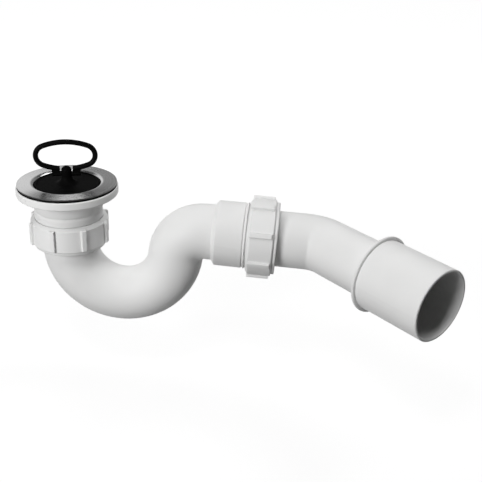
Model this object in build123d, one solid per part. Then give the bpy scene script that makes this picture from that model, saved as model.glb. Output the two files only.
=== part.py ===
from build123d import *
from math import cos, hypot, radians, tan
import os

# Shower tray trap: waste with push-in plug, U trap and 45 degree outlet bend
# Millimetres, +Z up, origin on the inlet axis in the plane that clamps the tray

# Pipework
TUBE_D = 40.0
TUBE_WALL = 2.0
U_RADIUS = 39.0
U_TURN = 175.0
ELBOW_THROAT = 0.5
OUTLET_FALL = 2.5
OUTLET_STRAIGHT = 6.2
BEND_RADIUS = 22.0
BEND_TURN = 45.0
BEND_LEAD = 20.6
BEND_TAIL = 47.2
SPIGOT_D = 50.0
SPIGOT_WALL = 1.5
SPIGOT_LENGTH = 49.4
SPIGOT_CHAMFER = 0.5
COLLAR_RISE = 2.4
COLLAR_THICKNESS = 2.0
COLLAR_ROUND = 0.9

# Compression joints: threaded mouth, cone washer and union nut
TUBE_CLEARANCE = 0.25
TUBE_END_GAP = 0.5
THREAD_WALL = 3.65
THREAD_CLEARANCE = 0.3
THREAD_CHAMFER = 0.8
SEAT_DEPTH = 3.0
SEAT_FLARE = 2.0
SEAL_CLEARANCE = 0.1
SEAL_BACK = 2.4
SEAL_NOSE_GAP = 0.6
SEAL_LAND = 0.6
NUT_LENGTH = 21.0
NUT_WALL = 3.3
NUT_LIP = 3.0
NUT_LIP_CLEARANCE = 0.5
NUT_CHAMFER = 2.0
NUT_ENTRY_LAND = 0.5
NUT_END_RING = 2.6
NUT_END_STEP = 1.6
NUT_END_ROUND = 0.9
NUT_SEAT_GAP = 0.1
RIB_COUNT = 8
RIB_WIDTH = 3.6
RIB_HEIGHT = 2.0
RIB_ROUND = 0.6
RIB_ROOT = 1.0
RIB_END_GAP = 1.2
INLET_NUT_TURN = 9.6
OUTLET_NUT_TURN = -25.7

# Outlet socket of the trap
SOCKET_LENGTH = 21.8
SOCKET_STEP = 3.4
SOCKET_STEP_RUN = 2.2
SOCKET_STEP_ROUND = 1.2
SOCKET_TAPER = 0.2
SOCKET_EDGE = 0.6
SOCKET_FLOOR = 2.3
THREAD_RELIEF = 1.0
BEAD_WIDTH = 1.7
BEAD_GAP = 0.7
BEAD_LAND = 0.4

# Steel dish
FLANGE_D = 70.0
SHEET = 0.8
RIM_RISE = 0.5
SEAT_D = 46.4
SEAT_TAPER = 8.0
FOLD_RADIUS = 2.5
DISH_DEPTH = 11.2
DISH_CORNER = 2.0
DIMPLE_D = 13.0
DIMPLE_DEPTH = 2.8
DRAIN_EDGE = 1.5
DRAIN_HUB = 2.0
DRAIN_BAR = 5.0
DRAIN_CORNER = 1.0
DRAINS = 4

# Screw and captive nut
SCREW_D = 6.0
SCREW_LENGTH = 20.0
SCREW_HEAD_D = 11.0
SCREW_SLOT = 1.3
SCREW_SEAT_GAP = 0.05
SCREW_HOLE_CLEARANCE = 0.4
THREAD_FIT = 0.05
INSERT_FLATS = 10.0
INSERT_HEIGHT = 5.0
INSERT_FIT = 0.1

# Waste body
GASKET = 1.5
GASKET_INSET = 0.1
GASKET_WIDTH = 5.0
BODY_OVERHANG = 0.9
BODY_FLANGE = 5.4
BODY_FLANGE_ROUND = 0.9
BODY_CONE = 3.4
BODY_BLEND = 2.0
NECK_WALL = 3.1
NECK_TAPER = 1.8
NECK_LENGTH = 6.9
NECK_GROOVE = 0.9
NECK_GROOVE_LENGTH = 3.2
NECK_GROOVE_ROUND = 1.5
SHOULDER_RISE = 0.4
SHOULDER_GAP = 0.5
SHOULDER_ROUND = 1.2
DISH_GAP = 0.9
RECESS_GAP = 2.0
FUNNEL = 7.5
THROAT = 1.9
INLET_GRIP = 17.0
INLET_RUN = 0.6
BOSS_WALL = 2.2
BOSS_DROP = 2.6
BOSS_HEIGHT = 11.0
SPIDER_ARMS = 3
SPIDER_WEB = 2.5
SPIDER_DROP = 1.0
SPIDER_ROOT = 2.0

# Plug and its pull ring
PLUG_TURN = 12.5
PLUG_TOP = 0.2
PLUG_CLEARANCE = 0.3
PLUG_DEPTH = 7.5
PLUG_ROOF = 3.5
PLUG_SKIRT = 3.0
PLUG_RIM_WIDTH = 1.6
PLUG_RIM_RISE = 0.5
PLUG_HUB_D = 12.0
PLUG_HUB_DROP = 2.5
POST_D = 7.2
POST_HEIGHT = 12.6
POST_FLARE = 5.5
POST_DOME = 3.5
PIVOT_HEIGHT = 6.5
BAR_D = 2.8
BAR_LENGTH = 20.0
PIN_CLEARANCE = 0.05
RING_WIDTH = 44.6
RING_HEIGHT = 23.4
RING_WIRE = 3.7
RING_END_RADIUS = 7.5
RING_LIFT = 3.9
RING_POST_GAP = 0.9
RING_FOOT_WIDTH = 2.4

# Values shared by pieces that fit together
tube_r = TUBE_D / 2
bore_r = tube_r - TUBE_WALL
socket_r = tube_r + TUBE_CLEARANCE
mouth_r = socket_r + SEAT_FLARE
thread_r = socket_r + THREAD_WALL
nut_bore_r = thread_r + THREAD_CLEARANCE
nut_r = nut_bore_r + NUT_WALL
nut_seat = SEAL_BACK + NUT_SEAT_GAP
nut_end = nut_seat + NUT_LIP
nut_back = nut_end - NUT_LENGTH
flange_r = FLANGE_D / 2
seat_slope = tan(radians(SEAT_TAPER))
seat_wall_r = SEAT_D / 2 + SHEET / 2 / cos(radians(SEAT_TAPER))
recess_r = SEAT_D / 2 + SHEET + DISH_GAP
screw_r = SCREW_D / 2
screw_hole_r = screw_r + SCREW_HOLE_CLEARANCE
dimple_slope = DIMPLE_DEPTH / (DIMPLE_D / 2 - screw_hole_r)

# Heights down the inlet axis
floor_z = -DISH_DEPTH
floor_mid = floor_z - SHEET / 2
dimple_mid = floor_mid - DIMPLE_DEPTH
body_top = -GASKET
body_flange_low = body_top - BODY_FLANGE
neck_top = body_flange_low - BODY_CONE
neck_low = neck_top - NECK_LENGTH
recess_z = floor_z - SHEET - RECESS_GAP
recess_low_r = recess_r + (recess_z - body_top) * seat_slope
throat_z = recess_z - FUNNEL
stop_z = throat_z - THROAT
mouth_z = stop_z - INLET_GRIP
u_start = mouth_z - nut_end - INLET_RUN
boss_top = dimple_mid - SHEET - BOSS_DROP
boss_low = boss_top - BOSS_HEIGHT
pivot_z = PLUG_TOP + PIVOT_HEIGHT

# Threaded mouth, in (radius, distance out of the mouth)
mouth_outline = [
    (thread_r, -THREAD_CHAMFER),
    (thread_r - THREAD_CHAMFER, 0),
    (mouth_r, 0),
    (socket_r, -SEAT_DEPTH),
]


def turned(points, rounds=()):
    """Solid turned about Z from (radius, height) points, with some corners rounded."""
    outline = make_face(Polyline(*points, close=True))
    for corner, radius in rounds:
        outline = fillet(outline.vertices().sort_by_distance(corner)[0], radius)
    return revolve(Plane.XZ * outline, Axis.Z)


def piped(path):
    """Pipe of the trap's section along a path of straight runs and tangent arcs."""
    return sweep(Plane(path @ 0, z_dir=path % 0) * (Circle(tube_r) - Circle(bore_r)), path=path)


def trap_path():
    """Centre line of the trap, from the inlet end to the start of the outlet socket."""
    inlet = Line((0, stop_z - TUBE_END_GAP), (0, u_start))
    u_bend = JernArc(start=inlet @ 1, tangent=inlet % 1, radius=U_RADIUS, arc_size=U_TURN)
    elbow_turn = U_TURN - 90 + OUTLET_FALL
    elbow = JernArc(start=u_bend @ 1, tangent=u_bend % 1, radius=tube_r + ELBOW_THROAT, arc_size=-elbow_turn)
    outlet = PolarLine(elbow @ 1, OUTLET_STRAIGHT, direction=elbow % 1)
    return Plane.XZ * (inlet + u_bend + elbow + outlet)


# Places along the outlet axis, from the mouth of the socket
socket_back = nut_back - 2 * BEAD_GAP - BEAD_WIDTH
socket_start = socket_back - SOCKET_LENGTH
socket_stop = socket_start + SOCKET_FLOOR
trap_line = trap_path()
outlet_axis = trap_line % 1
outlet_mouth = trap_line @ 1 - outlet_axis * socket_start
outlet_place = Plane(outlet_mouth, x_dir=(0, -1, 0), z_dir=outlet_axis)


def waste_flange():
    """Pressed dish: rim, fold, tapered seat, floor with drain openings and a screw dimple."""
    rim_z = SHEET / 2
    fold_z = rim_z + RIM_RISE
    floor_r = seat_wall_r + floor_mid * seat_slope
    section = FilletPolyline(
        (flange_r, rim_z),
        (seat_wall_r + fold_z * seat_slope, fold_z),
        (floor_r, floor_mid),
        (DIMPLE_D / 2, floor_mid),
        (screw_hole_r, dimple_mid),
        radius=[FOLD_RADIUS, DISH_CORNER, SHEET],
    )
    dish = revolve(Plane.XZ * trace(section, SHEET), Axis.Z)
    drain_out = floor_r - DISH_CORNER - DRAIN_EDGE
    drain = Circle(drain_out) - Circle(DIMPLE_D / 2 + DRAIN_HUB)
    for bar in range(DRAINS // 2):
        drain -= Rot(Z=180 * 2 * bar / DRAINS) * Rectangle(2 * flange_r, DRAIN_BAR)
    drain = fillet(drain.vertices(), DRAIN_CORNER)
    return dish - extrude(Pos(Z=floor_mid) * drain, SHEET, both=True)


def flange_screw():
    """Countersunk slotted screw that pulls the dish onto the body."""
    head_r = SCREW_HEAD_D / 2
    skin = (SHEET / 2 + SCREW_SEAT_GAP) * hypot(1, dimple_slope)
    head_z = dimple_mid + skin + (head_r - screw_hole_r) * dimple_slope
    cone_z = head_z - (head_r - screw_r) * dimple_slope
    screw = turned([(0, head_z), (head_r, head_z), (screw_r, cone_z), (screw_r, head_z - SCREW_LENGTH),
                    (0, head_z - SCREW_LENGTH)])
    return screw - Pos(Z=head_z) * Box(2 * head_r, SCREW_SLOT, 2 * SCREW_SLOT)


def flange_gasket():
    """Flat ring between the dish rim and the body flange."""
    outer = flange_r - GASKET_INSET
    inner = outer - GASKET_WIDTH
    return turned([(inner, body_top), (outer, body_top), (outer, 0), (inner, 0)])


def waste_body():
    """Moulded body: flange, tapered neck, threaded mouth, funnel and the spider that holds the screw."""
    flange_top = (flange_r + BODY_OVERHANG, body_top)
    flange_low = (flange_r + BODY_OVERHANG, body_flange_low)
    neck_r = recess_low_r + NECK_WALL
    neck_corner = (neck_r, neck_top)
    shoulder_r = thread_r + SHOULDER_RISE
    groove = (shoulder_r - NECK_GROOVE, neck_low - NECK_GROOVE_LENGTH / 2)
    shoulder_low = mouth_z - nut_back + SHOULDER_GAP
    shoulder_edge = (shoulder_r, neck_low - NECK_GROOVE_LENGTH)
    outline = [
        (recess_r, body_top),
        flange_top,
        flange_low,
        neck_corner,
        (neck_r - NECK_TAPER, neck_low),
        groove,
        shoulder_edge,
        (shoulder_r, shoulder_low),
        (thread_r, shoulder_low),
    ]
    outline += [(radius, mouth_z - out) for radius, out in mouth_outline]
    outline += [(socket_r, stop_z), (bore_r, stop_z), (bore_r, throat_z), (recess_low_r, recess_z)]
    rounds = [(flange_top, BODY_FLANGE_ROUND), (flange_low, BODY_FLANGE_ROUND), (neck_corner, BODY_BLEND),
              (groove, NECK_GROOVE_ROUND), (shoulder_edge, SHOULDER_ROUND)]
    body = turned(outline, rounds)

    boss_r = INSERT_FLATS / 2 / cos(radians(30)) + INSERT_FIT + BOSS_WALL
    boss = Pos(Z=boss_low) * Cylinder(boss_r, BOSS_HEIGHT, align=(Align.CENTER, Align.CENTER, Align.MIN))
    reach = bore_r + SPIDER_ROOT
    web_top = boss_top - SPIDER_DROP
    for arm in range(SPIDER_ARMS):
        web = Box(reach, SPIDER_WEB, web_top - stop_z, align=(Align.MIN, Align.CENTER, Align.MIN))
        boss += Rot(Z=360 * arm / SPIDER_ARMS) * Pos(Z=stop_z) * web
    pocket = extrude(Pos(Z=boss_low) * RegularPolygon(INSERT_FLATS / 2 + INSERT_FIT, 6, major_radius=False),
                     INSERT_HEIGHT)
    hole = Pos(Z=boss_low) * Cylinder(screw_hole_r, 2 * BOSS_HEIGHT)
    return body + (boss - pocket - hole)


def screw_insert():
    """Hexagon nut held in the pocket of the boss."""
    hexagon = RegularPolygon(INSERT_FLATS / 2, 6, major_radius=False) - Circle(screw_r + THREAD_FIT)
    return extrude(Pos(Z=boss_low) * hexagon, INSERT_HEIGHT)


def cone_washer():
    """Cone seal on the tube, with the mouth plane of its socket at the origin."""
    inner = tube_r + SEAL_CLEARANCE
    nose = SEAL_NOSE_GAP - SEAT_DEPTH
    nose_r = mouth_r - SEAL_CLEARANCE + nose * SEAT_FLARE / SEAT_DEPTH
    back_r = mouth_r + SEAL_LAND
    return turned([(inner, nose), (nose_r, nose), (mouth_r - SEAL_CLEARANCE, 0), (mouth_r, SEAL_CLEARANCE),
                   (back_r, SEAL_CLEARANCE), (back_r, SEAL_BACK), (inner, SEAL_BACK)])


def union_nut():
    """Ribbed union nut, with the mouth plane of its socket at the origin and its lip above."""
    lip_r = tube_r + NUT_LIP_CLEARANCE
    ring_r = nut_r - NUT_END_STEP
    panel_low = nut_back + NUT_CHAMFER
    panel_high = nut_end - NUT_END_RING
    panel_edge = (nut_r, panel_high)
    ring_edge = (ring_r, nut_end)
    nut = turned(
        [(lip_r, nut_seat), (lip_r, nut_end), ring_edge, (ring_r, panel_high), panel_edge, (nut_r, panel_low),
         (nut_bore_r + NUT_ENTRY_LAND, nut_back), (nut_bore_r, nut_back), (nut_bore_r, nut_seat)],
        [(panel_edge, NUT_END_ROUND), (ring_edge, NUT_END_ROUND)],
    )
    rib_low = panel_low - RIB_ROOT * NUT_CHAMFER / (NUT_WALL - NUT_ENTRY_LAND)
    rib_length = panel_high - RIB_END_GAP - rib_low
    rib = Box(RIB_ROOT + RIB_HEIGHT, RIB_WIDTH, rib_length, align=(Align.MIN, Align.CENTER, Align.MIN))
    rib = fillet(rib.faces().sort_by(Axis.X)[-1].edges(), RIB_ROUND)
    rib = Pos(X=nut_r - RIB_ROOT, Z=rib_low) * rib
    for turn in range(RIB_COUNT):
        nut += Rot(Z=360 * turn / RIB_COUNT) * rib
    return nut


def trap_bend():
    """One moulding: inlet tube, U bend, riser, elbow and the threaded outlet socket."""
    bead_start = socket_back + BEAD_GAP
    bead_end = bead_start + BEAD_WIDTH
    relief_r = thread_r - THREAD_RELIEF
    bead_slope = (BEAD_WIDTH - BEAD_LAND) / 2
    step_corner = (tube_r + SOCKET_STEP, socket_start + SOCKET_STEP_RUN)
    rim_corner = (tube_r + SOCKET_STEP + SOCKET_TAPER, socket_back)
    outline = [(bore_r, socket_start), (tube_r, socket_start), step_corner, rim_corner,
               (relief_r, socket_back), (relief_r, bead_start),
               (thread_r, bead_start + bead_slope), (thread_r, bead_end - bead_slope), (relief_r, bead_end),
               (relief_r, nut_back), (thread_r, nut_back + THREAD_RELIEF)]
    outline += mouth_outline + [(socket_r, socket_stop), (bore_r, socket_stop)]
    socket = turned(outline, [(step_corner, SOCKET_STEP_ROUND), (rim_corner, SOCKET_EDGE)])
    return piped(trap_line) + outlet_place * socket


def outlet_bend():
    """One moulding: plain pipe end, 45 degree bend, stop collar and spigot."""
    lead = Line((0, socket_stop + TUBE_END_GAP), (0, nut_end + BEND_LEAD))
    bend = JernArc(start=lead @ 1, tangent=lead % 1, radius=BEND_RADIUS, arc_size=-BEND_TURN)
    tail = PolarLine(bend @ 1, BEND_TAIL, direction=bend % 1)
    bend_plane = Plane(outlet_mouth, x_dir=(0, -1, 0), z_dir=Vector(0, -1, 0).cross(outlet_axis))
    path = bend_plane * (lead + bend + tail)

    spigot_r = SPIGOT_D / 2
    collar_r = spigot_r + COLLAR_RISE
    end = COLLAR_THICKNESS + SPIGOT_LENGTH
    spigot = turned(
        [(bore_r, 0), (collar_r, 0), (collar_r, COLLAR_THICKNESS), (spigot_r, COLLAR_THICKNESS),
         (spigot_r, end - SPIGOT_CHAMFER), (spigot_r - SPIGOT_CHAMFER, end), (spigot_r - SPIGOT_WALL, end),
         (spigot_r - SPIGOT_WALL, COLLAR_THICKNESS), (bore_r, COLLAR_THICKNESS)],
        [((collar_r, 0), COLLAR_ROUND), ((collar_r, COLLAR_THICKNESS), COLLAR_ROUND)],
    )
    return piped(path) + Plane(path @ 1, z_dir=path % 1) * spigot


def plug():
    """Rubber plug: hollow tapered skirt, raised rim and the post that carries the pull ring."""
    low = PLUG_TOP - PLUG_DEPTH
    roof = PLUG_TOP - PLUG_ROOF
    top_r = SEAT_D / 2 + PLUG_TOP * seat_slope - PLUG_CLEARANCE
    low_r = SEAT_D / 2 + low * seat_slope - PLUG_CLEARANCE
    rim_top = PLUG_TOP + PLUG_RIM_RISE
    rim_r = top_r - PLUG_RIM_RISE
    post_r = POST_D / 2
    post_top = PLUG_TOP + POST_HEIGHT
    foot = (post_r, PLUG_TOP)
    dome = (post_r, post_top)
    solid = turned(
        [(0, post_top), dome, foot, (rim_r - PLUG_RIM_WIDTH, PLUG_TOP),
         (rim_r - PLUG_RIM_WIDTH + PLUG_RIM_RISE, rim_top), (rim_r, rim_top), (top_r, PLUG_TOP), (low_r, low),
         (low_r - PLUG_SKIRT, low), (low_r - PLUG_SKIRT, roof), (PLUG_HUB_D / 2, roof),
         (PLUG_HUB_D / 2, roof - PLUG_HUB_DROP), (0, roof - PLUG_HUB_DROP)],
        [(foot, POST_FLARE), (dome, POST_DOME)],
    )
    hole = Pos(Z=pivot_z) * Rot(Y=90) * Cylinder(BAR_D / 2 + PIN_CLEARANCE, 2 * POST_D)
    return Rot(Z=PLUG_TURN) * (solid - hole)


def plug_ring():
    """Oval pull ring, open at the post, moulded onto the pivot bar."""
    half_width = (RING_WIDTH - RING_WIRE) / 2
    half_height = (RING_HEIGHT - RING_WIRE) / 2
    end_x = half_width - RING_END_RADIUS
    long_radius = (half_width**2 + half_height**2 - 2 * half_width * RING_END_RADIUS) / (
        2 * (half_height - RING_END_RADIUS))
    reach = long_radius / hypot(end_x, long_radius - half_height)
    join_x = end_x * reach
    join_y = half_height - long_radius + (long_radius - half_height) * reach
    oval = ThreePointArc((-join_x, join_y), (0, half_height), (join_x, join_y))
    oval += ThreePointArc((join_x, join_y), (half_width, 0), (join_x, -join_y))
    oval += ThreePointArc((join_x, -join_y), (0, -half_height), (-join_x, -join_y))
    oval += ThreePointArc((-join_x, -join_y), (-half_width, 0), (-join_x, join_y))
    path = Plane.XZ * oval
    ring = sweep(Plane(path @ 0, z_dir=path % 0) * Circle(RING_WIRE / 2), path=path)
    ring = Pos(Z=RING_LIFT + half_height) * ring
    ring -= Box(POST_D + 2 * RING_POST_GAP, 2 * RING_WIRE, 2 * (RING_LIFT + RING_WIRE))
    ring += Rot(Y=90) * Cylinder(BAR_D / 2, BAR_LENGTH)
    foot_length = BAR_LENGTH / 2 - POST_D / 2 - RING_POST_GAP
    for side in (-1, 1):
        foot = Box(foot_length, RING_FOOT_WIDTH, RING_LIFT, align=(Align.CENTER, Align.CENTER, Align.MIN))
        ring += Pos(X=side * (BAR_LENGTH - foot_length) / 2) * foot
    return Pos(Z=pivot_z) * Rot(Z=PLUG_TURN) * ring


inlet_place = Plane((0, 0, mouth_z), x_dir=(1, 0, 0), z_dir=(0, 0, -1))
pieces = {
    "waste_flange": waste_flange(),
    "flange_screw": flange_screw(),
    "flange_gasket": flange_gasket(),
    "waste_body": waste_body(),
    "screw_insert": screw_insert(),
    "inlet_nut": inlet_place * Rot(Z=INLET_NUT_TURN) * union_nut(),
    "inlet_cone_washer": inlet_place * cone_washer(),
    "trap_bend": trap_bend(),
    "outlet_nut": outlet_place * Rot(Z=OUTLET_NUT_TURN) * union_nut(),
    "outlet_cone_washer": outlet_place * cone_washer(),
    "outlet_bend": outlet_bend(),
    "plug": plug(),
    "plug_ring": plug_ring(),
}

os.makedirs("parts", exist_ok=True)
for name, piece in pieces.items():
    export_step(piece, f"parts/{name}.step")
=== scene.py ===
from math import cos, radians, sin

import bpy
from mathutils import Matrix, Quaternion, Vector


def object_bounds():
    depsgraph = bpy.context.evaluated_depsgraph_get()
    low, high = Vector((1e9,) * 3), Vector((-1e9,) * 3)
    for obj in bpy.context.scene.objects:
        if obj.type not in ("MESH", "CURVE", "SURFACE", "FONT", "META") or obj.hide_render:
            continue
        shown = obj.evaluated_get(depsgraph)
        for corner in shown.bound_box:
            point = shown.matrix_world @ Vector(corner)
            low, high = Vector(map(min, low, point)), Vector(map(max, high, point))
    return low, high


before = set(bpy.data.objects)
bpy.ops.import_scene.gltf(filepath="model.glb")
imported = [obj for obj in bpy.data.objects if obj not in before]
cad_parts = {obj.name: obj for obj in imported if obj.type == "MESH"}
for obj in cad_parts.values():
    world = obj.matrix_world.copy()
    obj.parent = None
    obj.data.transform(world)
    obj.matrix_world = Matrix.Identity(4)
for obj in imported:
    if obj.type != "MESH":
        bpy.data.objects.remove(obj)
cad_low, cad_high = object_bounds()

# Camera: metres and degrees, with lens and sensor in millimetres
CAMERA_TARGET = Vector((0.1252, 0.0003, -0.03735))
CAMERA_DISTANCE = 0.5739
CAMERA_AZIMUTH = 3.62
CAMERA_ELEVATION = 25.14
CAMERA_ROLL = 2.03
CAMERA_LENS = 59.34
CAMERA_SENSOR = 36.0
CAMERA_NEAR = 0.01

# Soft boxes: azimuth and elevation as for the camera, distance, side, power, and whether metal mirrors it
LAMPS = {
    "key": (-35, 18, 0.9, 0.32, 5.2, True),
    "front": (-22, 60, 0.9, 0.22, 2.0, True),
    "side": (120, 53, 1.0, 0.5, 4.0, True),
    "back": (208, 60, 1.0, 0.28, 0.7, True),
    "rear_fill": (190, 25, 1.0, 0.6, 3.0, False),
}

# World: even light on the part, and the ceiling and right side that its reflections show.
# Each edge is the range of the direction's Z or X over which white turns to the tone.
WHITE = (1, 1, 1, 1)
AMBIENT = 0.03
DOME_EDGE = (0.52, 0.64)
DOME_TONE = 0.06
SIDE_EDGE = (-0.37, -0.2)
SIDE_TONE = 0.32

# Floor: half its width, room below the part for the outlet to swing round, tone and roughness of its surface
FLOOR_HALF = 6.0
FLOOR_GAP = 0.045
FLOOR_TONE = 0.15
FLOOR_ROUGH = 0.9
# Floor as seen: glow near the part and far off, where the lamps fade, the range between, and the shaded share
FLOOR_GLOW = (0.84, 0.985)
FLOOR_FADE = (0.2, 1.0)
FLOOR_SHADE = 0.2

# White plastic: noise cells a metre, tones, roughness, gloss, bump strength and depth, and softened edges
WHITE_FLOW = 45
WHITE_GRAIN = 1500
WHITE_TONES = ((0.78, 0.78, 0.775), (0.83, 0.83, 0.825))
WHITE_ROUGH = (0.46, 0.54)
WHITE_GLOSS = 0.2
WHITE_BUMP = (0.15, 0.0001)
EDGE_ROUND = 0.0005
EDGE_SAMPLES = 6

# Stainless steel: turned lines, tones, roughness, stretch of the highlights and its turn
STEEL_LINES = 4000
STEEL_TONES = (0.50, 0.62)
STEEL_ROUGH = (0.22, 0.30)
STEEL_STRETCH = 0.8
STEEL_TURN = 0.25
# Painted shade: the cut edge darkens where the surface turns away from upright; the pressed rim falls
# outward, rise over run
STEEL_PAINTED_SHADE_RANGE = (0.3, 0.7)
STEEL_PAINTED_SHADE_TONE = 0.12
RIM_CROWN = 0.14

# Rubber: noise cells a metre, share by which the tone varies, spread of the roughness, bump
RUBBER_SKIN = 900
RUBBER_CLOUD = 90
RUBBER_VARIES = 0.2
RUBBER_SPREAD = 0.06
RUBBER_BUMP = (0.2, 0.00015)

# Black plastic, as for the white
BLACK_FLOW = 120
BLACK_GRAIN = 1800
BLACK_TONES = (0.0015, 0.003)
BLACK_ROUGH = (0.30, 0.42)
BLACK_GLOSS = 0.03
BLACK_BUMP = (0.08, 0.0001)

# Machined metal: noise cells a metre, tone of the dull marks beside the polish, spread of the roughness, bump
METAL_MARKS = 600
METAL_DULL = 0.9
METAL_SPREAD = 0.05
METAL_BUMP = (0.06, 0.0001)

# Range in which most of a noise lies, and the Mix node's colour sockets: two inputs and the output
NOISE_RANGE = (0.25, 0.75)
MIX_FIRST, MIX_SECOND, MIX_RESULT = 6, 7, 2


class Graph:
    """Short calls that add and link the nodes of one material or world."""

    def __init__(self, owner):
        owner.use_nodes = True
        self.owner = owner
        self.tree = owner.node_tree

    def add(self, kind, inputs, **settings):
        node = self.tree.nodes.new(kind)
        for key, value in settings.items():
            setattr(node, key, value)
        for socket, value in inputs.items():
            self.put(node, socket, value)
        return node

    def put(self, node, socket, value):
        if isinstance(value, bpy.types.NodeSocket):
            self.tree.links.new(value, node.inputs[socket])
        else:
            node.inputs[socket].default_value = value

    def set(self, **values):
        for socket, value in values.items():
            self.put(self.tree.nodes["Principled BSDF"], socket.replace("_", " "), value)

    def place(self):
        return self.add("ShaderNodeTexCoord", {}).outputs["Object"]

    def component(self, vector, axis):
        return self.add("ShaderNodeSeparateXYZ", {0: vector}).outputs[axis]

    def noise(self, vector, scale, detail):
        inputs = {"Vector": vector, "Scale": scale, "Detail": detail}
        return self.add("ShaderNodeTexNoise", inputs).outputs["Fac"]

    def remap(self, value, start, end, low, high):
        inputs = {"Value": value, "From Min": start, "From Max": end, "To Min": low, "To Max": high}
        return self.add("ShaderNodeMapRange", inputs, interpolation_type="SMOOTHSTEP").outputs["Result"]

    def spread(self, value, low, high):
        return self.remap(value, *NOISE_RANGE, low, high)

    def between(self, share, first, second):
        made = self.add("ShaderNodeMix", {"Factor": share}, data_type="RGBA")
        made.inputs[MIX_FIRST].default_value = (*first, 1)
        made.inputs[MIX_SECOND].default_value = (*second, 1)
        return made.outputs[MIX_RESULT]

    def bump(self, height, strength, distance, base=None, **settings):
        inputs = {"Height": height, "Strength": strength, "Distance": distance}
        if base is not None:
            inputs["Normal"] = base
        return self.add("ShaderNodeBump", inputs, **settings).outputs["Normal"]

    def rounded(self, radius):
        return self.add("ShaderNodeBevel", {"Radius": radius}, samples=EDGE_SAMPLES).outputs[0]

    def product(self, first, second):
        return self.add("ShaderNodeMath", {0: first, 1: second}, operation="MULTIPLY").outputs[0]

    def larger(self, first, second):
        return self.add("ShaderNodeMath", {0: first, 1: second}, operation="MAXIMUM").outputs[0]

    def mixed(self, share, first, second):
        return self.add("ShaderNodeMixShader", {0: share, 1: first, 2: second}).outputs[0]


def new_material(name):
    return Graph(bpy.data.materials.new(name))


def grey(tone):
    return (tone, tone, tone)


def white_plastic():
    """Moulded polypropylene: satin, nearly neutral white, with faint flow marks and a fine grain."""
    g = new_material("white_plastic")
    place = g.place()
    flow = g.noise(place, WHITE_FLOW, detail=3)
    grain = g.noise(place, WHITE_GRAIN, detail=3)
    g.set(Base_Color=g.between(flow, *WHITE_TONES), Roughness=g.spread(flow, *WHITE_ROUGH),
          Specular_IOR_Level=WHITE_GLOSS, Normal=g.bump(grain, *WHITE_BUMP, g.rounded(EDGE_ROUND)))
    return g.owner


def stainless():
    """Turned stainless sheet: fine concentric lines about the inlet axis, and painted shade on the cut edge.
    """
    g = new_material("stainless")
    flat = g.add("ShaderNodeVectorMath", {0: g.place(), 1: (1, 1, 0)}, operation="MULTIPLY").outputs[0]
    radius = g.add("ShaderNodeVectorMath", {0: flat}, operation="LENGTH").outputs["Value"]
    along = g.add("ShaderNodeCombineXYZ", {"X": radius}).outputs[0]
    lines = g.noise(along, STEEL_LINES, detail=2)
    # Painted shade: the colour darkens where the normal turns away from upright, as on the cut edge
    upright = g.component(g.add("ShaderNodeTexCoord", {}).outputs["Normal"], "Z")
    painted_edge_shade = g.remap(upright, *STEEL_PAINTED_SHADE_RANGE, STEEL_PAINTED_SHADE_TONE, 1.0)
    g.set(Metallic=1.0, Base_Color=g.product(painted_edge_shade, g.spread(lines, *STEEL_TONES)),
          Roughness=g.spread(lines, *STEEL_ROUGH),
          Anisotropic=STEEL_STRETCH, Anisotropic_Rotation=STEEL_TURN,
          Normal=g.bump(radius, 1.0, RIM_CROWN, invert=True),
          Tangent=g.add("ShaderNodeTangent", {}, direction_type="RADIAL", axis="Z").outputs[0])
    return g.owner


def rubber(name, tone, rough, gloss):
    """Matt rubber with a fine uneven skin."""
    g = new_material(name)
    place = g.place()
    skin = g.noise(place, RUBBER_SKIN, detail=4)
    cloud = g.noise(place, RUBBER_CLOUD, detail=2)
    tones = grey(tone * (1 - RUBBER_VARIES)), grey(tone * (1 + RUBBER_VARIES))
    g.set(Base_Color=g.between(cloud, *tones), Specular_IOR_Level=gloss,
          Roughness=g.spread(skin, rough - RUBBER_SPREAD, rough + RUBBER_SPREAD),
          Normal=g.bump(skin, *RUBBER_BUMP))
    return g.owner


def black_plastic():
    """Moulded black plastic, half gloss."""
    g = new_material("black_plastic")
    place = g.place()
    flow = g.noise(place, BLACK_FLOW, detail=2)
    grain = g.noise(place, BLACK_GRAIN, detail=2)
    g.set(Base_Color=g.between(flow, *map(grey, BLACK_TONES)), Specular_IOR_Level=BLACK_GLOSS,
          Roughness=g.spread(grain, *BLACK_ROUGH), Normal=g.bump(grain, *BLACK_BUMP))
    return g.owner


def metal(name, tone, rough):
    """Plain machined metal with a faint uneven polish."""
    g = new_material(name)
    marks = g.noise(g.place(), METAL_MARKS, detail=3)
    dull = tuple(METAL_DULL * channel for channel in tone)
    g.set(Metallic=1.0, Base_Color=g.between(marks, dull, tone),
          Roughness=g.spread(marks, rough - METAL_SPREAD, rough + METAL_SPREAD),
          Normal=g.bump(marks, *METAL_BUMP))
    return g.owner


finishes = {
    "white_plastic": white_plastic(),
    "stainless": stainless(),
    "screw_steel": metal("screw_steel", tone=(0.58, 0.58, 0.57), rough=0.3),
    "seal_rubber": rubber("seal_rubber", tone=0.002, rough=0.6, gloss=0.03),
    "brass": metal("brass", tone=(0.75, 0.55, 0.25), rough=0.3),
    "black_rubber": rubber("black_rubber", tone=0.0032, rough=0.5, gloss=0.009),
    "black_plastic": black_plastic(),
}
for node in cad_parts.values():
    for slot in node.material_slots:
        slot.material = finishes[slot.name.split(".")[0]]


def facing(azimuth, elevation):
    """Direction from the part to a place round it."""
    turn, rise = radians(azimuth), radians(elevation)
    return Vector((sin(turn) * cos(rise), -cos(turn) * cos(rise), sin(rise)))


def look_back(direction):
    """Turn of a lamp or camera that stands in a direction from the part and faces it."""
    return (-direction).to_track_quat("-Z", "Y")


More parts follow.
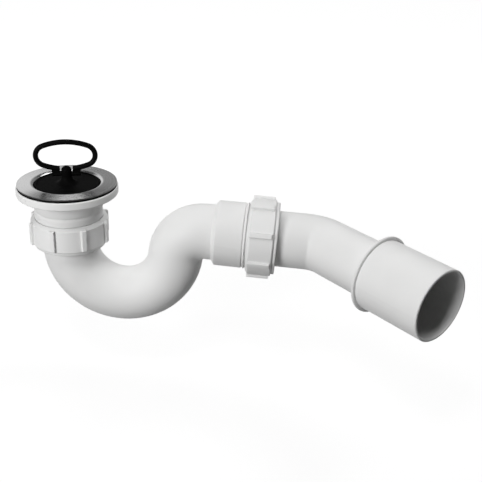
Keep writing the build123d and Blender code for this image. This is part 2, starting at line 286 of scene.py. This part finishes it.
def add_lamp(name, azimuth, elevation, distance, size, power, mirrored):
    """Square soft box that faces the part."""
    data = bpy.data.lights.new(name, "AREA")
    data.size = size
    data.energy = power
    lamp = bpy.data.objects.new(name, data)
    lamp.visible_glossy = mirrored
    direction = facing(azimuth, elevation)
    lamp.location = CAMERA_TARGET + direction * distance
    lamp.rotation_mode = "QUATERNION"
    lamp.rotation_quaternion = look_back(direction)
    bpy.context.collection.objects.link(lamp)


def floor_material(z):
    """Grey where it lights the part, and white with the part's shadow to the eye and to mirrors."""
    g = new_material("floor")
    g.set(Base_Color=(*grey(FLOOR_TONE), 1), Roughness=FLOOR_ROUGH)
    path = g.add("ShaderNodeLightPath", {}).outputs
    seen = g.larger(g.larger(path["Is Camera Ray"], path["Is Glossy Ray"]), path["Is Transmission Ray"])
    middle = (CAMERA_TARGET.x, CAMERA_TARGET.y, z)
    away = g.add("ShaderNodeVectorMath", {0: g.place(), 1: middle}, operation="DISTANCE").outputs["Value"]
    glow = g.add("ShaderNodeEmission", {"Strength": g.remap(away, *FLOOR_FADE, *FLOOR_GLOW)}).outputs[0]
    shade = g.add("ShaderNodeBsdfDiffuse", {"Color": (*grey(FLOOR_SHADE), 1)}).outputs[0]
    bright = g.add("ShaderNodeAddShader", {0: glow, 1: shade}).outputs[0]
    plain = g.tree.nodes["Principled BSDF"].outputs[0]
    g.put(g.tree.nodes["Material Output"], "Surface", g.mixed(seen, plain, bright))
    return g.owner


def add_floor():
    """Pale level floor below the part."""
    z = cad_low.z - FLOOR_GAP
    far = FLOOR_HALF
    mesh = bpy.data.meshes.new("floor")
    mesh.from_pydata([(-far, -far, z), (far, -far, z), (far, far, z), (-far, far, z)], [], [(0, 1, 2, 3)])
    mesh.materials.append(floor_material(z))
    floor = bpy.data.objects.new("floor", mesh)
    bpy.context.collection.objects.link(floor)


def add_world():
    """Dim even light all round; the eye sees white, and reflections a dark ceiling and a grey right side."""
    g = Graph(bpy.data.worlds.new("studio"))
    bpy.context.scene.world = g.owner
    path = g.add("ShaderNodeLightPath", {}).outputs
    way = g.add("ShaderNodeTexCoord", {}).outputs["Generated"]
    dome = g.remap(g.component(way, "Z"), *DOME_EDGE, 1.0, DOME_TONE)
    side = g.remap(g.component(way, "X"), *SIDE_EDGE, 1.0, SIDE_TONE)
    strengths = AMBIENT, g.product(dome, side), 1.0
    dim, studio, bright = (g.add("ShaderNodeBackground", {"Color": WHITE, "Strength": strength}).outputs[0]
                           for strength in strengths)
    mirrored = g.larger(path["Is Glossy Ray"], path["Is Transmission Ray"])
    light = g.mixed(path["Is Camera Ray"], g.mixed(mirrored, dim, studio), bright)
    g.put(g.tree.nodes["World Output"], "Surface", light)


def add_camera():
    """Camera at the photo's viewing angle."""
    data = bpy.data.cameras.new("camera")
    data.lens = CAMERA_LENS
    data.sensor_width = CAMERA_SENSOR
    data.clip_start = CAMERA_NEAR
    camera = bpy.data.objects.new("camera", data)
    direction = facing(CAMERA_AZIMUTH, CAMERA_ELEVATION)
    camera.location = CAMERA_TARGET + direction * CAMERA_DISTANCE
    camera.rotation_mode = "QUATERNION"
    camera.rotation_quaternion = look_back(direction) @ Quaternion((0, 0, 1), radians(CAMERA_ROLL))
    bpy.context.collection.objects.link(camera)
    bpy.context.scene.camera = camera


for name, setting in LAMPS.items():
    add_lamp(name, *setting)
add_floor()
add_world()
add_camera()
bpy.context.scene.view_settings.view_transform = "Standard"
